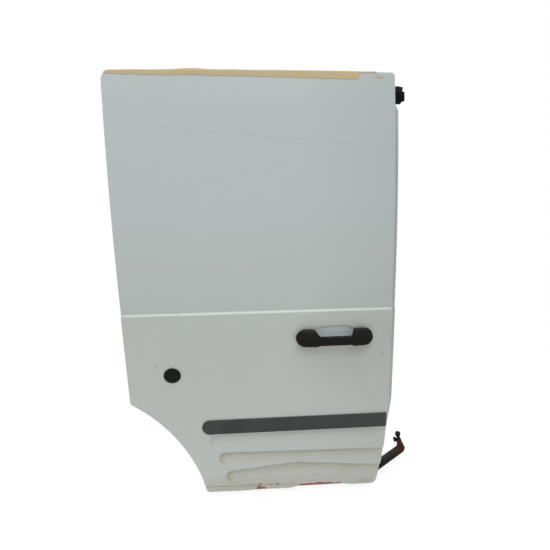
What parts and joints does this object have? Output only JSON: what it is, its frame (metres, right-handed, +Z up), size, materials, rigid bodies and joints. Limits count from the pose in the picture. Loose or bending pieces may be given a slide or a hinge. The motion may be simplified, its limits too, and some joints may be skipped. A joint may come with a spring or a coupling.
{
  "type": "van sliding side door",
  "caption": "Panelled sliding side door of a compact van with a pull handle, rub strip, pressed flutes, wheel-arch cut-out and guide rollers on arms.",
  "frame": {"origin": "on the raised flat pad of the inner face at the rear edge below the waist, midway between the two centre hinge bolt holes", "axes": "+X to the van's front, +Y inward from the outer skin to the load space, +Z up"},
  "size_m": [0.9605, 0.2973, 1.28],
  "materials": {
    "body_paint": "gloss",
    "primed_steel": "satin",
    "strip_plastic": "satin",
    "plug_rubber": "matte",
    "handle_plastic": "satin",
    "gasket_rubber": "matte",
    "plated_steel": "satin",
    "black_steel": "satin",
    "roller_nylon": "satin"
  },
  "bodies": {
    "door": {"outer_skin": "body_paint", "inner_panel": "body_paint", "waist_beam": "primed_steel", "impact_bar": "primed_steel", "skin_brace": "primed_steel", "rub_strip": "strip_plastic", "blanking_plug": "plug_rubber", "handle_pivot_pin": "plated_steel", "handle_front_gasket": "gasket_rubber", "handle_rear_gasket": "gasket_rubber", "handle_carrier": "plated_steel", "lock_control": "plated_steel", "latch_rod": "plated_steel", "rear_latch_case": "plated_steel", "latch_claw": "plated_steel", "centre_hinge_plate": "primed_steel", "upper_roller_bracket": "black_steel", "upper_roller_pin": "black_steel", "lower_arm": "black_steel", "lower_guide_pin": "black_steel", "lower_support_pin": "black_steel"},
    "handle": {"handle_grip": "handle_plastic"},
    "upper_roller": {"upper_roller": "roller_nylon"},
    "guide_roller": {"lower_guide_roller": "roller_nylon"},
    "support_roller": {"lower_support_roller": "roller_nylon"}
  },
  "joints": [
    {"name": "handle_pull", "type": "hinge", "parent": "door", "child": "handle", "pos_m": [0.663, -0.056, 0.0045], "axis": [0, 0, 1], "range_deg": [0, 10], "stiffness_Nm_per_rad": 1.5},
    {"name": "upper_roller_spin", "type": "hinge", "parent": "door", "child": "upper_roller", "pos_m": [0.7665, 0.07037, 0.7215], "axis": [0, 0, 1], "continuous": true},
    {"name": "lower_guide_roller_spin", "type": "hinge", "parent": "door", "child": "guide_roller", "pos_m": [0.8735, 0.188, -0.499], "axis": [0, 0, 1], "continuous": true},
    {"name": "lower_support_roller_spin", "type": "hinge", "parent": "door", "child": "support_roller", "pos_m": [0.857, 0.173, -0.51], "axis": [0, 1, 0], "continuous": true}
  ]
}
